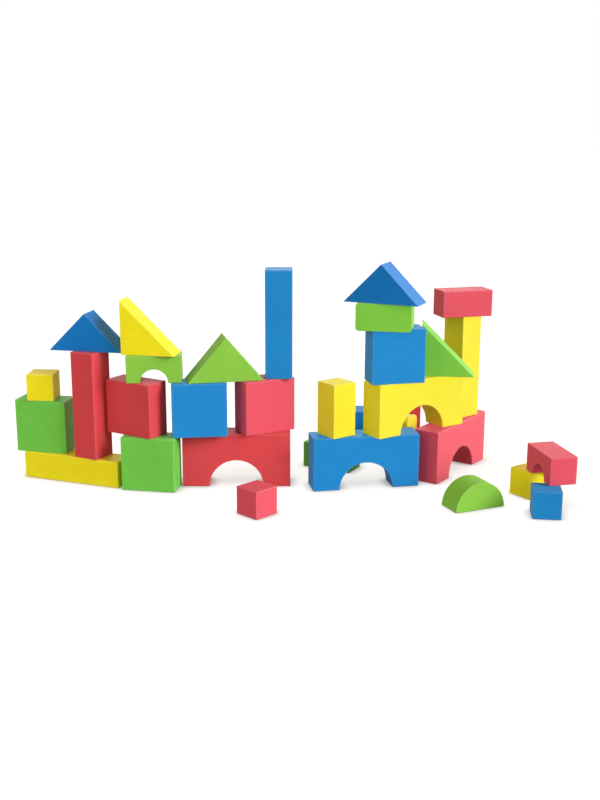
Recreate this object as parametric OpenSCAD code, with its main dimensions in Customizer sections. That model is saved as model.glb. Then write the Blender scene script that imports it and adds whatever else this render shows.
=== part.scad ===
// A set of giant foam building blocks, stacked as two castles with a few blocks left loose beside them

/* [Blocks] */
// Thickness of every block, which is also the section of bricks and pillars and the edge of a cube
unit = 75; // [66:1:84]
// Side of the square slabs, which is also the height of the large arches and the legs of the wedges
slab_side = 150; // [132:1:168]
// Length of the pillars, of the plank and of the large arches
long_length = 300; // [264:1:336]
// Length of the bricks and of the small arch
brick_length = 150; // [132:1:168]

/* [Cut forms] */
// Radius of the opening under a large arch
arch_radius = 75; // [60:1:90]
// Radius of the opening under the small arch
small_arch_radius = 38; // [28:1:46]
// Radius of the half-round block
half_round_radius = 74; // [60:1:84]
// Height of the steep gable above its base
steep_rise = 125; // [105:1:140]

/* [Edges] */
// Easing of the cut edges
edge_ease = 1.5; // [1:0.1:4]
// Length over which the corners of the worn green brick are rounded; the worn yellow one is twice as round
worn_round = 9; // [4:0.5:14]
// Number of flats in a worn corner
worn_steps = 4; // [2:1:6]

/* [Layout] */
// Least room between two blocks that stand side by side
side_gap = 4.5; // [3:0.5:12]
// Room left between a block and the one that it rests on
seat_gap = 0.05; // [0.02:0.01:0.2]
// Room left where two blocks touch side by side
touch_gap = 0.4; // [0.3:0.1:0.7]
// Room between the feet of the two castles
castle_gap = 50; // [40:1:80]
// Room between the two upper squares that the green gable bridges
bridge_gap = 25; // [10:1:40]
// Distance from the plank's right end to the middle of the red pillar on it
pillar_inset = 96; // [90:1:115]
// Room between the red pillar and the green square on the plank
plank_gap = 30; // [20:1:45]
// Distance from the blue arch's right end to the middle of the yellow arch's foot on it
foot_inset = 105; // [90:1:125]
// Room between the upper blue square and the green wedge beside it
wedge_gap = 15; // [10:1:30]
// Room between the corner of the loose yellow cube and the blue cube, which the small red arch bridges
cube_gap = 75; // [60:1:90]

/* [Hidden] */
$fn = 96;
overrun = 5;
foam_red = "#D9464E";
foam_blue = "#1F7CC4";
foam_yellow = "#EDE22A";
foam_green = "#78C340";

// Sizes of the cut forms: a wedge is half a square slab, and a gable is the same half laid on its long side
gable_base = slab_side * sqrt(2);
gable_rise = slab_side / sqrt(2);
arch_foot = long_length / 2 - arch_radius;

// Heights at which the courses of the castles begin, and what rests on a block one unit high
low_course = unit + seat_gap;
course_2 = slab_side + seat_gap;
course_3 = course_2 + slab_side + seat_gap;
course_4 = course_3 + slab_side + seat_gap;

// Turn of each block about the vertical, in degrees: positive puts its right end further from the viewer
plank_turn = -21;
left_square_turn = -13;
yellow_cube_turn = -4;
red_pillar_turn = -29;
left_gable_turn = -12;
base_square_turn = -10;
turned_square_turn = -32;
middle_square_turn = 7;
right_square_turn = 28;
blue_pillar_turn = 0;
steep_gable_turn = 12;
small_arch_turn = 3;
yellow_wedge_turn = -10;
red_cube_turn = 45;
blue_arch_turn = 10;
yellow_post_turn = 35;
yellow_arch_turn = 33;
red_arch_right_turn = 55;
upper_square_turn = 12;
green_brick_turn = -11;
right_gable_turn = -24;
green_wedge_turn = -7;
yellow_pillar_turn = 38;
top_brick_turn = 15;
back_green_turn = -29;
back_blue_turn = 0;
back_yellow_turn = 62;
back_red_turn = 0;
half_round_turn = 23;
loose_yellow_turn = -54;
loose_arch_turn = -78;
blue_cube_turn = -7;

// Where a block sits on or beside the one that carries it, along and across that block, as shares of its
// length and of the unit; where a corner or an end sets the place along, only the share across is given
base_square_share = -0.27;
plank_share = 0.4;
left_square_share = 0.27;
left_cube_shares = [-0.02, 0];
left_gable_shares = [-0.17, 0.25];
turned_square_shares = [-0.29, 0.26];
middle_square_shares = [0.34, -0.54];
right_square_share = 0.42;
steep_gable_shares = [0.05, 0.16];
blue_pillar_share = -0.27;
small_arch_shares = [0.21, 0.25];
yellow_wedge_shares = [0.12, -0.22];
red_cube_shares = [0.21, -3.45];
blue_arch_share = -0.14;
right_arch_share = 0.2;
yellow_post_share = 0.95;
yellow_foot_share = -0.3;
upper_square_shares = [0.91, -0.16];
green_brick_shares = [-0.26, -0.36];
right_gable_shares = [0, -0.13];
green_wedge_share = 0.57;
yellow_pillar_shares = [1, 0.15];
top_brick_shares = [-0.27, -0.21];
back_green_shares = [-0.17, 2.43];
back_blue_shares = [0.17, 3.52];
back_yellow_shares = [0.51, 2.29];
back_red_shares = [0.64, 4.95];
half_round_shares = [0.82, -2.96];
loose_yellow_shares = [1.43, -2.11];
loose_arch_shares = [1.15, -0.21];
blue_cube_share = -0.44;

// A place is [x, y, height of the base, turn]; spot() gives a point along and across a place
function spot(at, along, across) = [
    at[0] + along * cos(at[3]) - across * sin(at[3]),
    at[1] + along * sin(at[3]) + across * cos(at[3])
];

// The place of a block whose own point, along and across it, is put on a given point
function set_down(target, along, across, base, turn) = [
    target[0] - along * cos(turn) + across * sin(turn),
    target[1] - along * sin(turn) - across * cos(turn),
    base,
    turn
];

// Left castle, from the floor up
red_arch_at = [0, 0, 0, 0];
green_square_base_at = set_down(
    spot(red_arch_at, -long_length / 2 - side_gap, base_square_share * unit),
    slab_side / 2, unit / 2, 0, base_square_turn);
yellow_plank_at = set_down(
    spot(green_square_base_at, -slab_side / 2 - touch_gap, unit / 2),
    long_length / 2, plank_share * unit, 0, plank_turn);
red_pillar_at = set_down(
    spot(yellow_plank_at, long_length / 2 - pillar_inset, 0),
    0, 0, low_course, red_pillar_turn);
blue_gable_left_at = set_down(
    spot(red_pillar_at, left_gable_shares[0] * unit, left_gable_shares[1] * unit),
    0, 0, low_course + long_length + seat_gap, left_gable_turn);
green_square_left_at = set_down(
    spot(yellow_plank_at,
        long_length / 2 - pillar_inset - unit / sqrt(2) - plank_gap, left_square_share * unit),
    slab_side / 2, 0, low_course, left_square_turn);
yellow_cube_at = set_down(
    spot(green_square_left_at, left_cube_shares[0] * slab_side, left_cube_shares[1] * unit),
    0, 0, low_course + slab_side + seat_gap, yellow_cube_turn);
red_square_turned_at = set_down(
    spot(green_square_base_at, turned_square_shares[0] * slab_side, turned_square_shares[1] * unit),
    0, 0, course_2, turned_square_turn);
blue_square_middle_at = set_down(
    spot(red_arch_at, -long_length / 2 - middle_square_shares[0] * unit, middle_square_shares[1] * unit),
    -slab_side / 2, 0, course_2, middle_square_turn);
red_square_right_at = set_down(
    spot(blue_square_middle_at, slab_side / 2 + bridge_gap, right_square_share * unit),
    -slab_side / 2, unit / 2, course_2, right_square_turn);
green_gable_at = set_down(
    spot(blue_square_middle_at, slab_side / 2 - steep_gable_shares[0] * unit, steep_gable_shares[1] * unit),
    0, 0, course_3, steep_gable_turn);
blue_pillar_at = set_down(
    spot(green_gable_at, gable_base / 2 + side_gap, blue_pillar_share * unit),
    -unit / 2, -unit / 2, course_3, blue_pillar_turn);
green_small_arch_at = set_down(
    spot(blue_square_middle_at,
        small_arch_shares[0] * slab_side - slab_side / 2, small_arch_shares[1] * unit),
    brick_length / 2, 0, course_3, small_arch_turn);
yellow_wedge_at = set_down(
    spot(green_small_arch_at,
        brick_length / 2 - yellow_wedge_shares[0] * unit, yellow_wedge_shares[1] * unit),
    slab_side / 2, 0, course_3 + low_course, yellow_wedge_turn);
red_cube_at = set_down(
    spot(red_arch_at, red_cube_shares[0] * long_length, red_cube_shares[1] * unit),
    0, 0, 0, red_cube_turn);

// Right castle, from the floor up
blue_arch_at = set_down(
    spot(red_arch_at, long_length / 2 + castle_gap, blue_arch_share * unit),
    -long_length / 2, unit / 2, 0, blue_arch_turn);
yellow_post_at = set_down(
    spot(blue_arch_at, -long_length / 2 + yellow_post_share * unit, 0),
    0, 0, course_2, yellow_post_turn);
yellow_arch_at = set_down(
    spot(blue_arch_at, long_length / 2 - foot_inset, yellow_foot_share * unit),
    (arch_foot - long_length) / 2, 0, course_2, yellow_arch_turn);
red_arch_right_at = set_down(
    spot(blue_arch_at, long_length / 2 + touch_gap, right_arch_share * unit),
    -long_length / 2, unit / 2, 0, red_arch_right_turn);
blue_square_upper_at = set_down(
    spot(yellow_arch_at, -long_length / 2 + upper_square_shares[0] * unit, upper_square_shares[1] * unit),
    0, 0, course_3, upper_square_turn);
green_brick_at = set_down(
    spot(blue_square_upper_at, green_brick_shares[0] * slab_side, green_brick_shares[1] * unit),
    0, 0, course_4, green_brick_turn);
blue_gable_right_at = set_down(
    spot(green_brick_at, right_gable_shares[0] * brick_length, right_gable_shares[1] * unit),
    0, 0, course_4 + low_course, right_gable_turn);
green_wedge_at = set_down(
    spot(blue_square_upper_at, slab_side / 2 + wedge_gap, green_wedge_share * unit),
    -slab_side / 2, -unit / 2, course_3, green_wedge_turn);
yellow_pillar_at = set_down(
    spot(red_arch_right_at,
        long_length / 2 - yellow_pillar_shares[0] * unit, yellow_pillar_shares[1] * unit),
    0, 0, course_2, yellow_pillar_turn);
red_brick_top_at = set_down(
    spot(yellow_pillar_at, top_brick_shares[0] * unit, top_brick_shares[1] * unit),
    0, 0, course_2 + long_length + seat_gap, top_brick_turn);

// Blocks half hidden behind the right castle
green_brick_back_at = set_down(
    spot(blue_arch_at, back_green_shares[0] * long_length, back_green_shares[1] * unit),
    0, 0, 0, back_green_turn);
blue_brick_back_at = set_down(
    spot(blue_arch_at, back_blue_shares[0] * long_length, back_blue_shares[1] * unit),
    0, 0, 0, back_blue_turn);
yellow_brick_back_at = set_down(
    spot(blue_arch_at, back_yellow_shares[0] * long_length, back_yellow_shares[1] * unit),
    0, 0, 0, back_yellow_turn);
red_square_back_at = set_down(
    spot(blue_arch_at, back_red_shares[0] * long_length, back_red_shares[1] * unit),
    0, 0, 0, back_red_turn);

// Loose blocks on the right
green_half_round_at = set_down(
    spot(blue_arch_at, half_round_shares[0] * long_length, half_round_shares[1] * unit),
    0, 0, 0, half_round_turn);
yellow_cube_loose_at = set_down(
    spot(blue_arch_at, loose_yellow_shares[0] * long_length, loose_yellow_shares[1] * unit),
    0, 0, 0, loose_yellow_turn);
blue_cube_at = set_down(
    spot(yellow_cube_loose_at, unit / 2 + cube_gap / sqrt(2), -unit / 2 - cube_gap / sqrt(2)),
    blue_cube_share * unit, unit / 2, 0, blue_cube_turn);
red_small_arch_at = set_down(
    spot(yellow_cube_loose_at, loose_arch_shares[0] * unit, loose_arch_shares[1] * unit),
    0, 0, low_course, loose_arch_turn);

// Footprints of the outermost blocks, as place and length, which centre the whole set on the origin
OUTERMOST = [
    [yellow_plank_at, long_length],
    [green_square_left_at, slab_side],
    [yellow_cube_at, unit],
    [red_cube_at, unit],
    [blue_gable_right_at, gable_base],
    [red_square_back_at, slab_side],
    [red_arch_right_at, long_length],
    [green_half_round_at, 2 * half_round_radius],
    [red_small_arch_at, brick_length],
    [blue_cube_at, unit]
];
function reach_x(row) = (row[1] * abs(cos(row[0][3])) + unit * abs(sin(row[0][3]))) / 2;
function reach_y(row) = (row[1] * abs(sin(row[0][3])) + unit * abs(cos(row[0][3]))) / 2;
centre_x = (min([for (row = OUTERMOST) row[0][0] - reach_x(row)])
    + max([for (row = OUTERMOST) row[0][0] + reach_x(row)])) / 2;
centre_y = (min([for (row = OUTERMOST) row[0][1] - reach_y(row)])
    + max([for (row = OUTERMOST) row[0][1] + reach_y(row)])) / 2;

// Outlines, drawn upright on the middle of their base and running anticlockwise
function rectangle(width, height) = [
    [-width / 2, 0], [width / 2, 0], [width / 2, height], [-width / 2, height]
];
function gable_outline(base, rise) = [[-base / 2, 0], [base / 2, 0], [0, rise]];
function wedge_outline(leg) = [[-leg / 2, 0], [leg / 2, 0], [-leg / 2, leg]];

function toward(from, to, distance) = from + (to - from) * distance / norm(to - from);

// The outline with each corner rounded over a length of both sides, in a number of flats
function blunted(outline, length, steps) = [
    for (i = [0:len(outline) - 1])
        let (corner = outline[i],
            before = toward(corner, outline[(i + len(outline) - 1) % len(outline)], length),
            after = toward(corner, outline[(i + 1) % len(outline)], length))
        for (k = [0:steps])
            let (s = k / steps)
            (1 - s) * (1 - s) * before + 2 * s * (1 - s) * corner + s * s * after
];

// Cuts the ease along one straight side of an outline, on both faces of the block
module side_ease(from, to) {
    side = to - from;
    translate([from[0], from[1], 0])
        rotate([0, 0, atan2(side[1], side[0])])
            for (face = [-1, 1])
                translate([-overrun, 0, face * unit / 2])
                    rotate([90, 0, 90])
                        linear_extrude(norm(side) + 2 * overrun)
                            polygon([
                                [edge_ease + overrun, face * overrun],
                                [-overrun, -face * (edge_ease + overrun)],
                                [-overrun, face * overrun]
                            ]);
}

// A block sawn from sheet foam: an outline one unit thick, standing upright, with every edge eased
module sawn_block(outline, corner = edge_ease, steps = 1) {
    rotate([90, 0, 0])
        difference() {
            linear_extrude(unit, center = true)
                polygon(blunted(outline, corner, steps));
            for (i = [0:len(outline) - 1])
                side_ease(outline[i], outline[(i + 1) % len(outline)]);
        }
}

// The half-round tunnel of an arch, with eased mouths and eased inner edges under the feet
module tunnel(radius) {
    rotate([90, 0, 0]) {
        cylinder(h = unit + 2 * overrun, r = radius, center = true);
        linear_extrude(unit + 2 * overrun, center = true)
            polygon([
                [-radius - edge_ease - overrun, -overrun],
                [radius + edge_ease + overrun, -overrun],
                [radius - overrun, edge_ease + overrun],
                [overrun - radius, edge_ease + overrun]
            ]);
        for (face = [0, 1])
            mirror([0, 0, face])
                translate([0, 0, unit / 2 - edge_ease])
                    cylinder(h = edge_ease + overrun, r1 = radius, r2 = radius + edge_ease + overrun);
    }
}

module arch_block(length, height, radius) {
    difference() {
        sawn_block(rectangle(length, height));
        tunnel(radius);
    }
}

// Half of an eased disc, lying on its flat side
module half_round_block(radius) {
    rotate([90, 0, 0])
        difference() {
            rotate_extrude()
                polygon([
                    [0, -unit / 2],
                    [radius - edge_ease, -unit / 2],
                    [radius, edge_ease - unit / 2],
                    [radius, unit / 2 - edge_ease],
                    [radius - edge_ease, unit / 2],
                    [0, unit / 2]
                ]);
            translate([-radius - overrun, -radius - overrun, -unit / 2 - overrun])
                cube([2 * (radius + overrun), radius + overrun, unit + 2 * overrun]);
            side_ease([-radius, 0], [radius, 0]);
            for (end = [0, 1])
                mirror([end, 0, 0])
                    linear_extrude(unit + 2 * overrun, center = true)
                        polygon([
                            [radius - edge_ease - overrun, -overrun],
                            [radius + overrun, -overrun],
                            [radius + overrun, edge_ease + overrun]
                        ]);
        }
}

// Sets a block down at its place in the castles
module placed(at) {
    translate([at[0] - centre_x, at[1] - centre_y, at[2]])
        rotate([0, 0, at[3]])
            children();
}

module square_slab() {
    sawn_block(rectangle(slab_side, slab_side));
}

module pillar() {
    sawn_block(rectangle(unit, long_length));
}

module cube_block() {
    sawn_block(rectangle(unit, unit));
}

module brick() {
    sawn_block(rectangle(brick_length, unit));
}

module upright_brick() {
    sawn_block(rectangle(unit, brick_length));
}

module large_arch() {
    arch_block(long_length, slab_side, arch_radius);
}

module small_arch() {
    arch_block(brick_length, unit, small_arch_radius);
}

module gable() {
    sawn_block(gable_outline(gable_base, gable_rise));
}

module wedge() {
    sawn_block(wedge_outline(slab_side));
}

// Left castle
module red_arch() {
    color(foam_red) placed(red_arch_at) large_arch();
}

module green_square_base() {
    color(foam_green) placed(green_square_base_at) square_slab();
}

module yellow_plank() {
    color(foam_yellow) placed(yellow_plank_at) sawn_block(rectangle(long_length, unit));
}

module red_pillar() {
    color(foam_red) placed(red_pillar_at) pillar();
}

module blue_gable_left() {
    color(foam_blue) placed(blue_gable_left_at) gable();
}

module green_square_left() {
    color(foam_green) placed(green_square_left_at) square_slab();
}

module yellow_cube() {
    color(foam_yellow) placed(yellow_cube_at) cube_block();
}

module red_square_turned() {
    color(foam_red) placed(red_square_turned_at) square_slab();
}

module blue_square_middle() {
    color(foam_blue) placed(blue_square_middle_at) square_slab();
}

module red_square_right() {
    color(foam_red) placed(red_square_right_at) square_slab();
}

module green_gable() {
    color(foam_green) placed(green_gable_at) sawn_block(gable_outline(gable_base, steep_rise));
}

module blue_pillar() {
    color(foam_blue) placed(blue_pillar_at) pillar();
}

module green_small_arch() {
    color(foam_green) placed(green_small_arch_at) small_arch();
}

module yellow_wedge() {
    color(foam_yellow) placed(yellow_wedge_at) wedge();
}

module red_cube() {
    color(foam_red) placed(red_cube_at) cube_block();
}

// Right castle
module blue_arch() {
    color(foam_blue) placed(blue_arch_at) large_arch();
}

module yellow_post() {
    color(foam_yellow) placed(yellow_post_at) upright_brick();
}

module yellow_arch() {
    color(foam_yellow) placed(yellow_arch_at) large_arch();
}

module red_arch_right() {
    color(foam_red) placed(red_arch_right_at) large_arch();
}

module blue_square_upper() {
    color(foam_blue) placed(blue_square_upper_at) square_slab();
}

module green_brick() {
    color(foam_green) placed(green_brick_at)
        sawn_block(rectangle(brick_length, unit), worn_round, worn_steps);
}

module blue_gable_right() {
    color(foam_blue) placed(blue_gable_right_at) gable();
}

module green_wedge() {
    color(foam_green) placed(green_wedge_at) wedge();
}

module yellow_pillar() {
    color(foam_yellow) placed(yellow_pillar_at) pillar();
}

module red_brick_top() {
    color(foam_red) placed(red_brick_top_at) brick();
}

// Behind the right castle
module green_brick_back() {
    color(foam_green) placed(green_brick_back_at) brick();
}

module blue_brick_back() {
    color(foam_blue) placed(blue_brick_back_at) upright_brick();
}

module yellow_brick_back() {
    color(foam_yellow) placed(yellow_brick_back_at)
        sawn_block(rectangle(unit, brick_length), 2 * worn_round, worn_steps);
}

module red_square_back() {
    color(foam_red) placed(red_square_back_at) square_slab();
}

// Loose on the right
module green_half_round() {
    color(foam_green) placed(green_half_round_at) half_round_block(half_round_radius);
}

module yellow_cube_loose() {
    color(foam_yellow) placed(yellow_cube_loose_at) cube_block();
}

module blue_cube() {
    color(foam_blue) placed(blue_cube_at) cube_block();
}

module red_small_arch() {
    color(foam_red) placed(red_small_arch_at) small_arch();
}

red_arch();
green_square_base();
yellow_plank();
red_pillar();
blue_gable_left();
green_square_left();
yellow_cube();
red_square_turned();
blue_square_middle();
red_square_right();
green_gable();
blue_pillar();
green_small_arch();
yellow_wedge();
red_cube();
blue_arch();
yellow_post();
yellow_arch();
red_arch_right();
blue_square_upper();
green_brick();
blue_gable_right();
green_wedge();
yellow_pillar();
red_brick_top();
green_brick_back();
blue_brick_back();
yellow_brick_back();
red_square_back();
green_half_round();
yellow_cube_loose();
blue_cube();
red_small_arch();
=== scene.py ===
"""Giant foam building blocks, dressed for the camera.

Every block is cut afresh from foam where its CAD solid stands: the edges are softened, the faces
are a little uneven, and the foam has its cells, its saw marks and its pale edges, partly wear and
partly a painted edge highlight.
"""

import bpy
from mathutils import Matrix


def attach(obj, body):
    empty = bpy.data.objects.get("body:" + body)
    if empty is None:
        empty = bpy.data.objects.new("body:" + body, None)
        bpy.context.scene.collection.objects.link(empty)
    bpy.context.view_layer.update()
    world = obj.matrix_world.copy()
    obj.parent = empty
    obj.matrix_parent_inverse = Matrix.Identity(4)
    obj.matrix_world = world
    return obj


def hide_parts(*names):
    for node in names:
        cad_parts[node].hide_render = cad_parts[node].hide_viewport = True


bl_info = {
    "name": "Foam castle blocks",
    "version": (1, 0, 0),
    "blender": (4, 5, 0),
    "location": "View3D > Sidebar > Foam blocks",
    "description": "Cuts the soft foam blocks of a toy castle and sets the studio round them",
    "category": "Add Mesh",
}

import math
from collections import namedtuple

import bmesh
import bpy
from mathutils import Matrix, Vector, noise

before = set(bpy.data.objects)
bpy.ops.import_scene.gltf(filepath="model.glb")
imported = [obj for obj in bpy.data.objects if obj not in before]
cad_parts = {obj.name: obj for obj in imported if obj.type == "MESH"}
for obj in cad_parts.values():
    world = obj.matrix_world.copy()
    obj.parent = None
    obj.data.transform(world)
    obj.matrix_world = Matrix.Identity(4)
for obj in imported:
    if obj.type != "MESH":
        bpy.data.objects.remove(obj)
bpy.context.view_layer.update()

# Each block and the dye lot that its foam was cut from; the pinker red lot is the red dye with a
# painted sheen of the key lamp
SQUARES = {
    "green_square_base": "green",
    "green_square_left": "green",
    "red_square_turned": "red",
    "blue_square_middle": "blue",
    "red_square_right": "rose",
    "blue_square_upper": "blue",
    "red_square_back": "red",
}
LONG_BARS = {
    "yellow_plank": "yellow",
    "red_pillar": "red",
    "blue_pillar": "blue",
    "yellow_pillar": "lemon",
}
BRICKS = {
    "yellow_post": "lemon",
    "red_brick_top": "rose",
    "green_brick_back": "green",
    "blue_brick_back": "navy",
}
# For a worn brick also the axis along which its worn corners run, and how many times the
# common wear it has
WORN_BRICKS = {"green_brick": ("leaf", "Y", 1), "yellow_brick_back": ("lemon", "X", 2)}
CUBES = {
    "yellow_cube": "yellow",
    "red_cube": "rose",
    "yellow_cube_loose": "yellow",
    "blue_cube": "blue",
}
ARCHES = {
    "red_arch": "red",
    "blue_arch": "blue",
    "yellow_arch": "lemon",
    "red_arch_right": "rose",
}
SMALL_ARCHES = {"green_small_arch": "lime", "red_small_arch": "rose"}
GABLES = {"blue_gable_left": "navy", "green_gable": "lime", "blue_gable_right": "navy"}
WEDGES = {"yellow_wedge": "yellow", "green_wedge": "leaf"}
HALF_ROUNDS = {"green_half_round": "lime"}

# Blocks of the right castle that the key lamp shines past, so that they leave no shade on the
# left castle
LIT_PAST = (
    "yellow_post", "yellow_arch", "blue_square_upper", "green_brick",
    "blue_gable_right", "green_wedge", "yellow_pillar", "red_brick_top",
)
# Blocks behind the left castle's wedge that the rim lamp's gleam misses
OUT_OF_GLEAM = ("blue_gable_left", "red_pillar")

# Cutting
NEAR = 1e-5  # places closer than this are one place
FLAT_ANGLE = math.radians(1)  # an edge bent less than this lies in a face
SHARP_ANGLE = math.radians(35)  # an edge bent more than this is softened
EDGE_SEGMENTS = 3
EDGE_MARK = 1  # material index that marks a rounded face while a block is cut
WORN_SEGMENTS = 8
ROUND_STEP = 0.0048  # spacing of the mesh along a round
FLAT_WEIGHT = 80  # how far the large faces rule the shading

# Dips in a face: about how many to the metre, and their share of the unevenness
BROAD_DIPS, BROAD_SHARE = 16.0, 0.7
FINE_DIPS, FINE_SHARE = 55.0, 0.3
LEVEL_SHARE = 0.25  # share of the dips that a level face keeps, since it carries or stands
LEVEL_NORMAL = 0.9  # a normal more upright than this belongs to a level face
PATTERN_SHIFT = Vector((0.731, 0.417, 0.293))  # from one block's pattern to the next

# Foam: tones of the dye, how far each mark stains it or, at the edges, pales it, roughness,
# relief and gloss
DEEP_TONE, PALE_TONE, PITTED_TONE = 0.95, 1.04, 0.72
# The pale edges: the dye deepened and whitened, partly wear and partly a painted edge highlight
RUBBED_HIGHLIT_TONE, RUBBED_HIGHLIGHT_WHITE = 0.82, 0.16
PIT_STAIN, SAW_STAIN, RUB_AND_HIGHLIGHT_SHARE = 0.30, 0.16, 0.24
PIT_RIM = 0.5  # tone of the cells where a pit ends
RUB_AND_HIGHLIGHT_FALLOFF = 1.6  # how fast the edge wear and the painted edge highlight fade beside an edge
PIT_ROUGHNESS, TOP_ROUGHNESS, RUB_POLISH = 0.66, 0.54, 0.08
SAW_RELIEF, MOTTLE_RELIEF = 0.5, 0.8
BUMP_STRENGTH, BUMP_DEPTH = 0.35, 0.0006
GLOSS, SHEEN, SHEEN_ROUGHNESS = 0.05, 0.05, 0.4

# Places of the colour sockets on a mix node, where several sockets share a name
MIX_FACTOR, MIX_ONE, MIX_OTHER, MIX_RESULT = 0, 6, 7, 2

# Floor: half its side, how far it lies below the blocks, the share of light that it throws back
# on them, what its white and its glow add up to, and the reach of the shade where blocks touch it
FLOOR_HALF = 30.0
FLOOR_DROP = 0.0003
FLOOR_BOUNCE = 0.45
FLOOR_TOTAL = 1.05
CONTACT_REACH, CONTACT_SAMPLES = 0.03, 16

# Spread of each lamp, its bearing to the right of the camera's and its height, in degrees
LAMP_ANGLES = {
    "key_softbox": (30, 61, 28),
    "front_softbox": (24, 2, 17),
    "fill_softbox": (60, -60, 25),
    "back_softbox": (40, 180, 20),
    "rim_softbox": (36, 106, 22),
    "floor_softbox": (50, -20, 75),
}
WHITE_LIGHT = (1.0, 1.0, 1.0)
KEY_LIGHT = (0.97, 1.0, 1.04)

# Camera, as found from the corners of the blocks
LENS, SENSOR_WIDTH = 50.625, 36.0
CAMERA_PLACE = (0.0137, -3.0785, 1.0026)
CAMERA_PAN = math.radians(-0.56)
CAMERA_TILT = math.radians(90 - 14.157)
CAMERA_ROLL = math.radians(0.183)
CAMERA_REACH = 100.0

Seat = namedtuple("Seat", "place size")


class FoamCutSettings(bpy.types.PropertyGroup):
    """How the foam is cut"""

    edge_round: bpy.props.FloatProperty(
        name="Edge rounding",
        description="Radius of a softened edge",
        default=0.0016, min=0.0005, unit="LENGTH",
    )
    worn_round: bpy.props.FloatProperty(
        name="Worn rounding",
        description="Radius of the corners of a worn brick",
        default=0.009, min=0.001, unit="LENGTH",
    )
    # The band beside an edge over which its wear and the painted edge highlight fade
    rub_and_highlight_width: bpy.props.FloatProperty(
        name="Rubbed width",
        description="Width of the rubbed band beside an edge",
        default=0.006, min=0.002, unit="LENGTH",
    )
    mesh_step: bpy.props.FloatProperty(
        name="Mesh step",
        description="Spacing of the mesh on the faces",
        default=0.014, min=0.004, unit="LENGTH",
    )
    unevenness: bpy.props.FloatProperty(
        name="Unevenness",
        description="How far a face dips below flat",
        default=0.0003, min=0.0, unit="LENGTH",
    )
    arch_radius: bpy.props.FloatProperty(
        name="Arch radius",
        description="Radius of the tunnel of a large arch",
        default=0.075, min=0.01, unit="LENGTH",
    )
    small_arch_radius: bpy.props.FloatProperty(
        name="Small arch radius",
        description="Radius of the tunnel of a small arch",
        default=0.038, min=0.01, unit="LENGTH",
    )


def dye_property(name, colour):
    return bpy.props.FloatVectorProperty(
        name=name,
        description=f"Colour of the {name.lower()} foam",
        default=colour, size=3, min=0.0, max=1.0, subtype="COLOR",
    )


class FoamDyeSettings(bpy.types.PropertyGroup):
    """The dye lots of the foam"""

    red: dye_property("Red", (0.630, 0.061, 0.074))
    # The red dye made pinker: painted sheen of the key lamp, not a dye lot of its own
    rose: dye_property("Rose", (0.655, 0.080, 0.117))
    blue: dye_property("Blue", (0.014, 0.218, 0.560))
    navy: dye_property("Navy", (0.007, 0.172, 0.530))
    yellow: dye_property("Yellow", (0.800, 0.712, 0.014))
    lemon: dye_property("Lemon", (0.730, 0.640, 0.030))
    green: dye_property("Green", (0.150, 0.520, 0.070))
    lime: dye_property("Lime", (0.215, 0.485, 0.056))
    leaf: dye_property("Leaf", (0.205, 0.575, 0.064))


class FoamStageSettings(bpy.types.PropertyGroup):
    """The studio"""

    key_strength: bpy.props.FloatProperty(
        name="Key strength",
        description="Strength of the lamp on the right",
        default=3.45, min=0.0,
    )
    front_strength: bpy.props.FloatProperty(
        name="Front strength",
        description="Strength of the lamp above the camera",
        default=0.45, min=0.0,
    )
    fill_strength: bpy.props.FloatProperty(
        name="Fill strength",
        description="Strength of the lamp on the left",
        default=0.95, min=0.0,
    )
    back_strength: bpy.props.FloatProperty(
        name="Back strength",
        description="Strength of the lamp behind the castles",
        default=1.0, min=0.0,
    )
    rim_strength: bpy.props.FloatProperty(
        name="Rim strength",
        description="Strength of the gleam from behind on the right",
        default=18.0, min=0.0,
    )
    sky_strength: bpy.props.FloatProperty(
        name="Sky strength",
        description="Strength of the even light from all round",
        default=0.36, min=0.0,
    )
    sky_colour: bpy.props.FloatVectorProperty(
        name="Sky colour",
        description="Colour of the even light",
        default=(1.0, 0.73, 0.32), size=3, subtype="COLOR",
    )
    floor_strength: bpy.props.FloatProperty(
        name="Floor strength",
        description="Strength of the lamp over the floor",
        default=2.8, min=0.0,
    )
    floor_white: bpy.props.FloatProperty(
        name="Floor white",
        description="Share of the floor that stays white under a shadow",
        default=0.70, min=0.0, max=1.0,
    )


# Reading the solids, and cutting the foam


def read_seat(node):
    """Where a block stands: the turn and the middle of its base as a matrix, and its size"""
    solid = bmesh.new()
    solid.from_mesh(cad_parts[node].data)
    bmesh.ops.remove_doubles(solid, verts=solid.verts, dist=NEAR)
    bmesh.ops.dissolve_limit(solid, angle_limit=FLAT_ANGLE, verts=solid.verts, edges=solid.edges)
    level = [e for e in solid.edges if abs(e.verts[0].co.z - e.verts[1].co.z) < NEAR]
    longest = max(level, key=lambda e: e.calc_length())
    run = longest.verts[1].co - longest.verts[0].co
    turn = math.atan2(run.y, run.x)
    if turn <= -math.pi / 2:
        turn += math.pi
    elif turn > math.pi / 2:
        turn -= math.pi
    unturned = [Matrix.Rotation(-turn, 3, "Z") @ v.co for v in solid.verts]
    solid.free()
    low = Vector([min(c[i] for c in unturned) for i in range(3)])
    high = Vector([max(c[i] for c in unturned) for i in range(3)])
    base = Vector(((low.x + high.x) / 2, (low.y + high.y) / 2, low.z))
    return Seat(Matrix.Rotation(turn, 4, "Z") @ Matrix.Translation(base), high - low)


def saw_through(solid, depth):
    """Gives the outline in a bmesh the block's depth"""
    swept = bmesh.ops.extrude_face_region(solid, geom=solid.faces[:])
    moved = [part for part in swept["geom"] if isinstance(part, bmesh.types.BMVert)]
    bmesh.ops.translate(solid, vec=(0, depth, 0), verts=moved)
    bmesh.ops.recalc_face_normals(solid, faces=solid.faces)
    return solid


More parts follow.
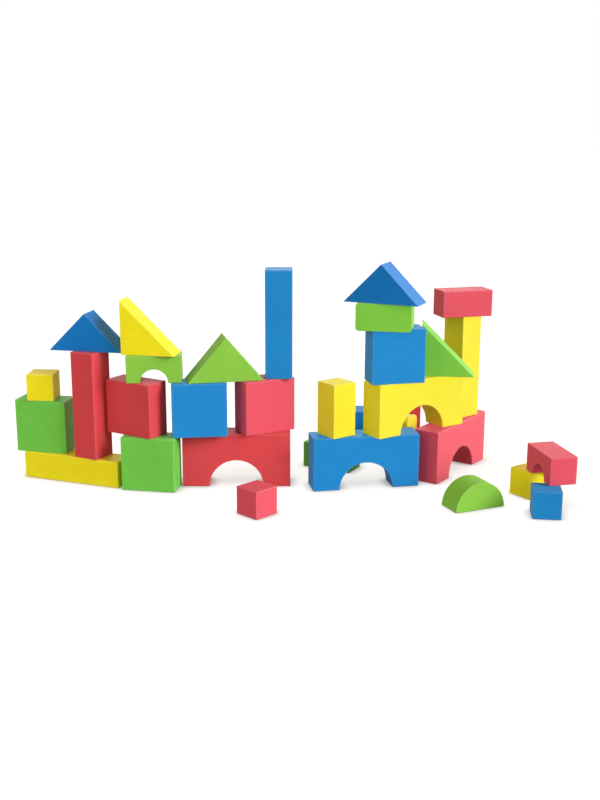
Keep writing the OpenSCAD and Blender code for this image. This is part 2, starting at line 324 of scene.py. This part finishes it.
def box_foam(size):
    solid = bmesh.new()
    middle = Vector((0, 0, size.z / 2))
    bmesh.ops.create_cube(solid, size=1.0, matrix=Matrix.LocRotScale(middle, None, size))
    return solid


def outline_foam(outline, depth):
    """A block with a straight-sided outline"""
    solid = bmesh.new()
    solid.faces.new([solid.verts.new((x, -depth / 2, z)) for x, z in outline])
    return saw_through(solid, depth)


def spun_band(solid, front, free, joined):
    """Half a ring between a free round and one that the rest of the outline joins

    Gives the start, the end and the edges of the joined round.
    """
    first = solid.verts.new((free, front, 0))
    second = solid.verts.new((joined, front, 0))
    edge = solid.edges.new((first, second))
    spun = bmesh.ops.spin(
        solid, geom=[first, second, edge], cent=(0, front, 0), axis=(0, -1, 0), angle=math.pi,
        steps=round(math.pi * max(free, joined) / ROUND_STEP), use_merge=False,
    )
    ends = [part for part in spun["geom_last"] if isinstance(part, bmesh.types.BMVert)]
    end = min(ends, key=lambda v: abs(abs(v.co.x) - joined))

    def on_round(vert):
        return abs(math.hypot(vert.co.x, vert.co.z) - joined) < NEAR

    return second, end, [e for e in solid.edges if all(on_round(v) for v in e.verts)]


def close_outline(solid, chain, rounds):
    """Fills the outline between a round and the straight sides that join its two ends"""
    sides = [solid.edges.new((one, other)) for one, other in zip(chain, chain[1:])]
    bmesh.ops.edgenet_fill(solid, edges=rounds + sides)


def arch_foam(size, radius, band):
    """An arch: a band round the tunnel is spun, and the rest of the outline closes on it"""
    solid = bmesh.new()
    front = -size.y / 2
    start, end, rounds = spun_band(solid, front, radius, radius + band)
    half = size.x / 2
    rim = [(-half, 0), (-half, size.z), (half, size.z), (half, 0)]
    corners = [solid.verts.new((x, front, z)) for x, z in rim]
    close_outline(solid, [end] + corners + [start], rounds)
    return saw_through(solid, size.y)


def half_round_foam(size, band):
    """Half a disc on its flat side: a band inside the round is spun, and the middle is filled"""
    solid = bmesh.new()
    start, end, rounds = spun_band(solid, -size.y / 2, size.x / 2, size.x / 2 - band)
    close_outline(solid, [end, start], rounds)
    return saw_through(solid, size.y)


def round_edges(solid, edges, offset, segments):
    return bmesh.ops.bevel(
        solid, geom=edges, offset=offset, offset_type="OFFSET", segments=segments,
        profile=0.5, affect="EDGES", material=-1, clamp_overlap=True,
    )["faces"]


def worn_foam(size, axis, wear):
    """A brick whose long corners along one axis are worn round"""
    solid = box_foam(size)
    along = "XYZ".index(axis)
    worn = [e for e in solid.edges if abs(e.verts[0].co[along] - e.verts[1].co[along]) > NEAR]
    round_edges(solid, worn, wear, WORN_SEGMENTS)
    return solid


def soften_edges(solid, cut):
    """Rounds the edges, and marks the rounded faces"""
    sharp = [e for e in solid.edges if e.calc_face_angle(0) > SHARP_ANGLE]
    for face in round_edges(solid, sharp, cut.edge_round, EDGE_SEGMENTS):
        face.material_index = EDGE_MARK


def ruled(low, high, margin, step):
    """Places of the mesh lines between two sides, the first and the last a margin inside them"""
    room = high - low - 2 * margin
    count = max(1, round(room / step))
    return [low + margin + room * k / count for k in range(count + 1)]


def rule_faces(solid, size, cut, slopes):
    """Lays a net of mesh lines over the faces, with one beside each edge where its wear and
    painted edge highlight end
    """
    low = Vector((-size.x / 2, -size.y / 2, 0))
    high = Vector((size.x / 2, size.y / 2, size.z))
    planes = []
    for axis in range(3):
        normal = Vector((0, 0, 0))
        normal[axis] = 1.0
        lines = ruled(low[axis], high[axis], cut.rub_and_highlight_width, cut.mesh_step)
        planes += [(normal * at, normal) for at in lines]
    for foot, top in slopes:
        run = Vector((top[0] - foot[0], 0, top[1] - foot[1]))
        normal = Vector((-run.z, 0, run.x)).normalized()
        inward = normal if normal.z < 0 else -normal
        planes.append((Vector((foot[0], 0, foot[1])) + inward * cut.rub_and_highlight_width, normal))
    for at, normal in planes:
        whole = solid.verts[:] + solid.edges[:] + solid.faces[:]
        bmesh.ops.bisect_plane(solid, geom=whole, dist=NEAR, plane_co=at, plane_no=normal)
    bmesh.ops.remove_doubles(solid, verts=solid.verts, dist=2 * NEAR)
    bmesh.ops.recalc_face_normals(solid, faces=solid.faces)


def weather(solid, cut, number):
    """Lets the faces dip a little, and stores the worn edges, which also carry a painted edge
    highlight, and the place in the pattern
    """
    rub_and_highlight = solid.verts.layers.float.new("edge_rub")
    own = solid.verts.layers.float_vector.new("foam_co")
    solid.normal_update()
    shift = PATTERN_SHIFT * (number + 1)
    dips = []
    for vert in solid.verts:
        place = vert.co + shift
        vert[own] = place
        # Rounded faces are marked for edge wear and for a painted edge highlight
        edge = any(f.material_index == EDGE_MARK for f in vert.link_faces)
        vert[rub_and_highlight] = 1.0 if edge else 0.0
        broad = 0.5 + 0.5 * noise.noise(place * BROAD_DIPS)
        fine = 0.5 + 0.5 * noise.noise(place * FINE_DIPS)
        share = LEVEL_SHARE if abs(vert.normal.z) > LEVEL_NORMAL else 1.0
        depth = cut.unevenness * share * (BROAD_SHARE * broad + FINE_SHARE * fine)
        dips.append((vert, vert.normal * -depth))
    for vert, dip in dips:
        vert.co += dip
    for face in solid.faces:
        face.material_index = 0
        face.smooth = True


def cut_block(context, solid, node, lot, seat, slopes=()):
    """Finishes one block from its plain foam and puts it where its solid stands"""
    cut = context.scene.foam_cut
    soften_edges(solid, cut)
    rule_faces(solid, seat.size, cut, slopes)
    weather(solid, cut, list(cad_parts).index(node))
    solid.transform(seat.place)
    mesh = bpy.data.meshes.new(node + "_foam")
    solid.to_mesh(mesh)
    solid.free()
    mesh.materials.append(foam_material(context, lot))
    block = bpy.data.objects.new(node + "_foam", mesh)
    context.scene.collection.objects.link(block)
    shade = block.modifiers.new("Flat faces", "WEIGHTED_NORMAL")
    shade.mode = "FACE_AREA"
    shade.weight = FLAT_WEIGHT
    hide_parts(node)
    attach(block, node)


def cut_boxes(context, blocks):
    """Cuts blocks that are plain boxes"""
    for node, lot in blocks.items():
        seat = read_seat(node)
        cut_block(context, box_foam(seat.size), node, lot, seat)


# Finishes


def new_group(name, inputs, outputs):
    """A shader group with value and vector sockets"""
    group = bpy.data.node_groups.new(name, "ShaderNodeTree")
    for label, kind in inputs:
        group.interface.new_socket(label, in_out="INPUT", socket_type="NodeSocket" + kind)
    for label, kind in outputs:
        group.interface.new_socket(label, in_out="OUTPUT", socket_type="NodeSocket" + kind)
    return group, group.nodes.new("NodeGroupInput"), group.nodes.new("NodeGroupOutput")


def add_node(tree, kind, values=None, **settings):
    node = tree.nodes.new(kind)
    for name, value in settings.items():
        setattr(node, name, value)
    for name, value in (values or {}).items():
        node.inputs[name].default_value = value
    return node


def calc(tree, operation, one, other, clamp=False):
    node = add_node(tree, "ShaderNodeMath", operation=operation, use_clamp=clamp)
    for socket, value in zip(node.inputs, (one, other)):
        if isinstance(value, (int, float)):
            socket.default_value = value
        else:
            tree.links.new(value, socket)
    return node.outputs[0]


def blend(tree, one, one_share, other, other_share):
    """The sum of two values, each times its share"""
    one_part = calc(tree, "MULTIPLY", one, one_share)
    other_part = calc(tree, "MULTIPLY", other, other_share)
    return calc(tree, "ADD", one_part, other_part)


def remap(tree, value, from_low, from_high, to_low=0.0, to_high=1.0):
    node = add_node(
        tree, "ShaderNodeMapRange",
        {"From Min": from_low, "From Max": from_high, "To Min": to_low, "To Max": to_high},
    )
    tree.links.new(value, node.inputs["Value"])
    return node.outputs["Result"]


def texture(tree, kind, vector, values, **settings):
    node = add_node(tree, kind, values, **settings)
    tree.links.new(vector, node.inputs["Vector"])
    return node


def foam_cells_group():
    """Closed cells: fine pits about a millimetre apart, and a finer tooth between them"""
    if "Foam cells" in bpy.data.node_groups:
        return bpy.data.node_groups["Foam cells"]
    group, given, result = new_group(
        "Foam cells", [("Vector", "Vector")], [("Tone", "Float"), ("Height", "Float")]
    )
    vector = given.outputs["Vector"]
    pits = texture(
        group, "ShaderNodeTexVoronoi", vector, {"Scale": 760.0, "Randomness": 1.0}, feature="F1"
    )
    tooth = texture(
        group, "ShaderNodeTexNoise", vector, {"Scale": 2100.0, "Detail": 2.0, "Roughness": 0.6}
    )
    pit = remap(group, pits.outputs["Distance"], 0.05, 0.55)
    height = blend(group, pit, 0.7, tooth.outputs["Fac"], 0.3)
    group.links.new(remap(group, height, 0.2, 0.9), result.inputs["Tone"])
    group.links.new(height, result.inputs["Height"])
    return group


def dye_mottle_group():
    """Cloudy dye: broad drifts of tone with smaller ones inside them"""
    if "Dye mottle" in bpy.data.node_groups:
        return bpy.data.node_groups["Dye mottle"]
    group, given, result = new_group("Dye mottle", [("Vector", "Vector")], [("Tone", "Float")])
    vector = given.outputs["Vector"]
    broad = texture(
        group, "ShaderNodeTexNoise", vector, {"Scale": 9.0, "Detail": 2.0, "Roughness": 0.5}
    )
    small = texture(
        group, "ShaderNodeTexNoise", vector, {"Scale": 70.0, "Detail": 3.0, "Roughness": 0.6}
    )
    both = blend(group, broad.outputs["Fac"], 0.65, small.outputs["Fac"], 0.35)
    group.links.new(remap(group, both, 0.3, 0.7), result.inputs["Tone"])
    return group


def saw_marks_group():
    """Faint level lines that the saw leaves on the foam"""
    if "Saw marks" in bpy.data.node_groups:
        return bpy.data.node_groups["Saw marks"]
    group, given, result = new_group("Saw marks", [("Vector", "Vector")], [("Lines", "Float")])
    vector = given.outputs["Vector"]
    lines = texture(
        group, "ShaderNodeTexWave", vector,
        {
            "Scale": 62.0, "Distortion": 1.6,
            "Detail": 2.0, "Detail Scale": 0.6, "Detail Roughness": 0.6,
        },
        wave_type="BANDS", bands_direction="Z",
    )
    patch = texture(group, "ShaderNodeTexNoise", vector, {"Scale": 14.0, "Detail": 1.0})
    where = remap(group, patch.outputs["Fac"], 0.45, 0.65)
    group.links.new(calc(group, "MULTIPLY", lines.outputs["Fac"], where), result.inputs["Lines"])
    return group


def edge_rub_and_highlight_group():
    """Worn edges with a painted edge highlight: the stored edge mask, broken up so that the
    paling comes and goes
    """
    if "Edge rub" in bpy.data.node_groups:
        return bpy.data.node_groups["Edge rub"]
    group, given, result = new_group(
        "Edge rub", [("Vector", "Vector"), ("Edge", "Float")], [("Mask", "Float")]
    )
    breakup = texture(
        group, "ShaderNodeTexNoise", given.outputs["Vector"],
        {"Scale": 95.0, "Detail": 3.0, "Roughness": 0.65},
    )
    comes = remap(group, breakup.outputs["Fac"], 0.35, 0.65, 0.35, 1.0)
    near = calc(group, "POWER", given.outputs["Edge"], RUB_AND_HIGHLIGHT_FALLOFF)
    group.links.new(calc(group, "MULTIPLY", near, comes, clamp=True), result.inputs["Mask"])
    return group


def place_group(tree, group, vector):
    node = add_node(tree, "ShaderNodeGroup", node_tree=group)
    tree.links.new(vector, node.inputs["Vector"])
    return node


def mix_colour(tree, factor, one, other):
    node = add_node(tree, "ShaderNodeMix", data_type="RGBA")
    tree.links.new(factor, node.inputs[MIX_FACTOR])
    for place, value in ((MIX_ONE, one), (MIX_OTHER, other)):
        if isinstance(value, tuple):
            node.inputs[place].default_value = value
        else:
            tree.links.new(value, node.inputs[place])
    return node.outputs[MIX_RESULT]


def toned(dye, tone, white=0.0):
    """A dye made deeper or paler, with some white in it"""
    return tuple(min(1.0, c * tone + white) for c in dye) + (1.0,)


def foam_material(context, lot):
    """Foam of one dye lot"""
    name = lot + "_foam"
    if name in bpy.data.materials:
        return bpy.data.materials[name]
    dye = getattr(context.scene.foam_dyes, lot)
    deep, pale = toned(dye, DEEP_TONE), toned(dye, PALE_TONE)
    # The pale edge colour stands for wear and for a painted edge highlight
    pitted, rubbed_and_highlit = toned(dye, PITTED_TONE), toned(dye, RUBBED_HIGHLIT_TONE, RUBBED_HIGHLIGHT_WHITE)
    material = bpy.data.materials.new(name)
    material.use_nodes = True
    tree = material.node_tree
    shader = tree.nodes["Principled BSDF"]
    own = add_node(tree, "ShaderNodeAttribute", attribute_name="foam_co").outputs["Vector"]
    edge = add_node(tree, "ShaderNodeAttribute", attribute_name="edge_rub").outputs["Fac"]
    cells = place_group(tree, foam_cells_group(), own)
    mottle = place_group(tree, dye_mottle_group(), own)
    saw = place_group(tree, saw_marks_group(), own)
    rub_and_highlight = place_group(tree, edge_rub_and_highlight_group(), own)
    tree.links.new(edge, rub_and_highlight.inputs["Edge"])

    pits = remap(tree, cells.outputs["Tone"], 0.0, PIT_RIM, PIT_STAIN, 0.0)
    sawn = calc(tree, "MULTIPLY", saw.outputs["Lines"], SAW_STAIN)
    # Pale edges mixed in: partly wear, partly a painted edge highlight
    worn = calc(tree, "MULTIPLY", rub_and_highlight.outputs["Mask"], RUB_AND_HIGHLIGHT_SHARE)
    colour = mix_colour(tree, mottle.outputs["Tone"], deep, pale)
    colour = mix_colour(tree, pits, colour, pitted)
    colour = mix_colour(tree, sawn, colour, pitted)
    colour = mix_colour(tree, worn, colour, rubbed_and_highlit)
    tree.links.new(colour, shader.inputs["Base Color"])

    rough = remap(tree, cells.outputs["Tone"], 0.0, 1.0, PIT_ROUGHNESS, TOP_ROUGHNESS)
    polish = calc(tree, "MULTIPLY", rub_and_highlight.outputs["Mask"], RUB_POLISH)
    tree.links.new(calc(tree, "SUBTRACT", rough, polish), shader.inputs["Roughness"])

    drifts = blend(tree, saw.outputs["Lines"], SAW_RELIEF, mottle.outputs["Tone"], MOTTLE_RELIEF)
    bump = add_node(tree, "ShaderNodeBump", {"Strength": BUMP_STRENGTH, "Distance": BUMP_DEPTH})
    tree.links.new(calc(tree, "ADD", cells.outputs["Height"], drifts), bump.inputs["Height"])
    tree.links.new(bump.outputs["Normal"], shader.inputs["Normal"])
    shader.inputs["Specular IOR Level"].default_value = GLOSS
    shader.inputs["Sheen Weight"].default_value = SHEEN
    shader.inputs["Sheen Roughness"].default_value = SHEEN_ROUGHNESS
    return material


# Studio


def grey(level):
    return (level, level, level, 1.0)


def where_seen(tree, gathered, seen):
    """One shader where light is gathered, the other where the camera or a reflection looks"""
    path = add_node(tree, "ShaderNodeLightPath")
    looks = calc(tree, "MAXIMUM", path.outputs["Is Camera Ray"], path.outputs["Is Glossy Ray"])
    looks = calc(tree, "MAXIMUM", looks, path.outputs["Is Transmission Ray"])
    choose = add_node(tree, "ShaderNodeMixShader")
    for socket, value in zip(choose.inputs, (looks, gathered, seen)):
        tree.links.new(value, socket)
    return choose.outputs[0]


def studio_paper(stage):
    """White paper that keeps the blocks' shadow, and a thin shade where they touch it"""
    paper = bpy.data.materials.new("studio_paper")
    paper.use_nodes = True
    tree = paper.node_tree
    tree.nodes.remove(tree.nodes["Principled BSDF"])
    gathers = add_node(tree, "ShaderNodeBsdfDiffuse", {"Color": grey(FLOOR_BOUNCE)})
    shows = add_node(
        tree, "ShaderNodeBsdfDiffuse", {"Color": grey(FLOOR_TOTAL - stage.floor_white)}
    )
    glow = add_node(tree, "ShaderNodeEmission", {"Color": grey(1.0)})
    contact = add_node(
        tree, "ShaderNodeAmbientOcclusion", {"Distance": CONTACT_REACH}, samples=CONTACT_SAMPLES
    )
    # Painted contact shadow: the glow of the paper dims where the blocks close round it
    white = calc(tree, "MULTIPLY", contact.outputs["AO"], stage.floor_white)
    tree.links.new(white, glow.inputs["Strength"])
    both = add_node(tree, "ShaderNodeAddShader")
    tree.links.new(shows.outputs[0], both.inputs[0])
    tree.links.new(glow.outputs[0], both.inputs[1])
    surface = where_seen(tree, gathers.outputs[0], both.outputs[0])
    tree.links.new(surface, tree.nodes["Material Output"].inputs["Surface"])
    return paper


def lay_floor(scene, stage):
    sheet = bmesh.new()
    bmesh.ops.create_grid(sheet, x_segments=4, y_segments=4, size=FLOOR_HALF)
    bmesh.ops.translate(sheet, vec=(0, 0, -FLOOR_DROP), verts=sheet.verts)
    mesh = bpy.data.meshes.new("studio_floor")
    sheet.to_mesh(mesh)
    sheet.free()
    mesh.materials.append(studio_paper(stage))
    floor = bpy.data.objects.new("studio_floor", mesh)
    scene.collection.objects.link(floor)
    return floor


def hang_sky(scene, stage):
    """Even light on the blocks, and plain white for what looks at it"""
    world = bpy.data.worlds.new("studio_sky")
    scene.world = world
    world.use_nodes = True
    tree = world.node_tree
    tree.nodes.clear()
    warm = tuple(stage.sky_colour) + (1.0,)
    even = add_node(
        tree, "ShaderNodeBackground", {"Color": warm, "Strength": stage.sky_strength}
    )
    white = add_node(tree, "ShaderNodeBackground", {"Color": grey(1.0), "Strength": 1.0})
    output = add_node(tree, "ShaderNodeOutputWorld")
    surface = where_seen(tree, even.outputs[0], white.outputs[0])
    tree.links.new(surface, output.inputs["Surface"])


def blocks_of(scene, nodes):
    names = [node + "_foam" for node in nodes]
    return [scene.objects[name] for name in names if name in scene.objects]


def light_group(name, members, state):
    """A collection for a lamp: with INCLUDE only its members count, with EXCLUDE all but them"""
    group = bpy.data.collections.new(name)
    for member in members:
        group.objects.link(member)
    for entry in group.collection_objects:
        entry.light_linking.link_state = state
    return group


def add_lamp(scene, name, strength, lights, colour=WHITE_LIGHT):
    """A broad lamp so far off that its light is even"""
    spread, side, height = (math.radians(angle) for angle in LAMP_ANGLES[name])
    lamp = bpy.data.lights.new(name, "SUN")
    lamp.energy = strength
    lamp.angle = spread
    lamp.color = colour
    shown = bpy.data.objects.new(name, lamp)
    scene.collection.objects.link(shown)
    flat = math.cos(height)
    toward = Vector((-math.sin(side) * flat, math.cos(side) * flat, -math.sin(height)))
    shown.rotation_euler = toward.to_track_quat("-Z", "Y").to_euler()
    shown.light_linking.receiver_collection = lights
    return shown


def set_lamps(scene, stage, floor):
    """The lamps on the blocks, and one on the floor alone"""
    floor_only = light_group("floor_only", [floor], "INCLUDE")
    all_but_floor = light_group("all_but_floor", [floor], "EXCLUDE")
    dull = [floor] + blocks_of(scene, OUT_OF_GLEAM)
    all_that_gleam = light_group("all_that_gleam", dull, "EXCLUDE")
    all_but_lit_past = light_group("all_but_lit_past", blocks_of(scene, LIT_PAST), "EXCLUDE")
    key = add_lamp(scene, "key_softbox", stage.key_strength, all_but_floor, KEY_LIGHT)
    key.light_linking.blocker_collection = all_but_lit_past
    add_lamp(scene, "front_softbox", stage.front_strength, all_but_floor)
    add_lamp(scene, "fill_softbox", stage.fill_strength, all_but_floor)
    add_lamp(scene, "back_softbox", stage.back_strength, all_but_floor)
    rim = add_lamp(scene, "rim_softbox", stage.rim_strength, all_that_gleam)
    rim.visible_diffuse = False
    add_lamp(scene, "floor_softbox", stage.floor_strength, floor_only)


def set_camera(scene):
    """The camera where the photographer stood"""
    lens = bpy.data.cameras.new("photo_camera")
    lens.sensor_fit = "AUTO"
    lens.sensor_width = SENSOR_WIDTH
    lens.lens = LENS
    lens.clip_end = CAMERA_REACH
    camera = bpy.data.objects.new("photo_camera", lens)
    camera.location = CAMERA_PLACE
    pan = Matrix.Rotation(CAMERA_PAN, 3, "Z")
    tilt = Matrix.Rotation(CAMERA_TILT, 3, "X")
    roll = Matrix.Rotation(CAMERA_ROLL, 3, "Z")
    camera.rotation_euler = (pan @ tilt @ roll).to_euler()
    scene.collection.objects.link(camera)
    scene.camera = camera


# Operators


class FOAM_OT_squares(bpy.types.Operator):
    """Cuts the square slabs"""

    bl_idname = "foam.squares"
    bl_label = "Square slabs"

    def execute(self, context):
        cut_boxes(context, SQUARES)
        return {"FINISHED"}


class FOAM_OT_long_bars(bpy.types.Operator):
    """Cuts the pillars and the plank"""

    bl_idname = "foam.long_bars"
    bl_label = "Pillars and plank"

    def execute(self, context):
        cut_boxes(context, LONG_BARS)
        return {"FINISHED"}


class FOAM_OT_bricks(bpy.types.Operator):
    """Cuts the bricks, and the two whose corners are worn round"""

    bl_idname = "foam.bricks"
    bl_label = "Bricks"

    def execute(self, context):
        cut_boxes(context, BRICKS)
        for node, (lot, axis, times) in WORN_BRICKS.items():
            seat = read_seat(node)
            foam = worn_foam(seat.size, axis, times * context.scene.foam_cut.worn_round)
            cut_block(context, foam, node, lot, seat)
        return {"FINISHED"}


class FOAM_OT_cubes(bpy.types.Operator):
    """Cuts the cubes"""

    bl_idname = "foam.cubes"
    bl_label = "Cubes"

    def execute(self, context):
        cut_boxes(context, CUBES)
        return {"FINISHED"}


class FOAM_OT_arches(bpy.types.Operator):
    """Cuts the large arches and the small ones"""

    bl_idname = "foam.arches"
    bl_label = "Arches"

    def execute(self, context):
        cut = context.scene.foam_cut
        for arches, radius in ((ARCHES, cut.arch_radius), (SMALL_ARCHES, cut.small_arch_radius)):
            for node, lot in arches.items():
                seat = read_seat(node)
                foam = arch_foam(seat.size, radius, cut.rub_and_highlight_width)
                cut_block(context, foam, node, lot, seat)
        return {"FINISHED"}


class FOAM_OT_gables(bpy.types.Operator):
    """Cuts the gables"""

    bl_idname = "foam.gables"
    bl_label = "Gables"

    def execute(self, context):
        for node, lot in GABLES.items():
            seat = read_seat(node)
            half = seat.size.x / 2
            left, right, peak = (-half, 0), (half, 0), (0, seat.size.z)
            foam = outline_foam((left, right, peak), seat.size.y)
            cut_block(context, foam, node, lot, seat, slopes=((left, peak), (right, peak)))
        return {"FINISHED"}


class FOAM_OT_wedges(bpy.types.Operator):
    """Cuts the wedges"""

    bl_idname = "foam.wedges"
    bl_label = "Wedges"

    def execute(self, context):
        for node, lot in WEDGES.items():
            seat = read_seat(node)
            half = seat.size.x / 2
            left, right, peak = (-half, 0), (half, 0), (-half, seat.size.z)
            foam = outline_foam((left, right, peak), seat.size.y)
            cut_block(context, foam, node, lot, seat, slopes=((right, peak),))
        return {"FINISHED"}


class FOAM_OT_half_round(bpy.types.Operator):
    """Cuts the half-round"""

    bl_idname = "foam.half_round"
    bl_label = "Half-round"

    def execute(self, context):
        for node, lot in HALF_ROUNDS.items():
            seat = read_seat(node)
            foam = half_round_foam(seat.size, context.scene.foam_cut.rub_and_highlight_width)
            cut_block(context, foam, node, lot, seat)
        return {"FINISHED"}


class FOAM_OT_stage(bpy.types.Operator):
    """Sets the floor, the light and the camera"""

    bl_idname = "foam.stage"
    bl_label = "Studio"

    def execute(self, context):
        scene = context.scene
        stage = scene.foam_stage
        scene.view_settings.view_transform = "Standard"
        floor = lay_floor(scene, stage)
        hang_sky(scene, stage)
        set_lamps(scene, stage, floor)
        set_camera(scene)
        return {"FINISHED"}


OPERATORS = (
    FOAM_OT_squares, FOAM_OT_long_bars, FOAM_OT_bricks, FOAM_OT_cubes, FOAM_OT_arches,
    FOAM_OT_gables, FOAM_OT_wedges, FOAM_OT_half_round, FOAM_OT_stage,
)


class FOAM_PT_blocks(bpy.types.Panel):
    """Lists the blocks and what can be changed about them"""

    bl_idname = "FOAM_PT_blocks"
    bl_label = "Foam blocks"
    bl_space_type = "VIEW_3D"
    bl_region_type = "UI"
    bl_category = "Foam blocks"

    def draw(self, context):
        layout = self.layout
        scene = context.scene
        for settings in (scene.foam_cut, scene.foam_dyes, scene.foam_stage):
            box = layout.box()
            for name in settings.__annotations__:
                box.prop(settings, name)
        for operator in OPERATORS:
            layout.operator(operator.bl_idname)


CLASSES = (FoamCutSettings, FoamDyeSettings, FoamStageSettings) + OPERATORS + (FOAM_PT_blocks,)


def register():
    for cls in CLASSES:
        bpy.utils.register_class(cls)
    bpy.types.Scene.foam_cut = bpy.props.PointerProperty(type=FoamCutSettings)
    bpy.types.Scene.foam_dyes = bpy.props.PointerProperty(type=FoamDyeSettings)
    bpy.types.Scene.foam_stage = bpy.props.PointerProperty(type=FoamStageSettings)


def unregister():
    del bpy.types.Scene.foam_stage
    del bpy.types.Scene.foam_dyes
    del bpy.types.Scene.foam_cut
    for cls in reversed(CLASSES):
        bpy.utils.unregister_class(cls)


def main():
    register()
    bpy.ops.foam.squares()
    bpy.ops.foam.long_bars()
    bpy.ops.foam.bricks()
    bpy.ops.foam.cubes()
    bpy.ops.foam.arches()
    bpy.ops.foam.gables()
    bpy.ops.foam.wedges()
    bpy.ops.foam.half_round()
    bpy.ops.foam.stage()


if __name__ == "__main__":
    main()
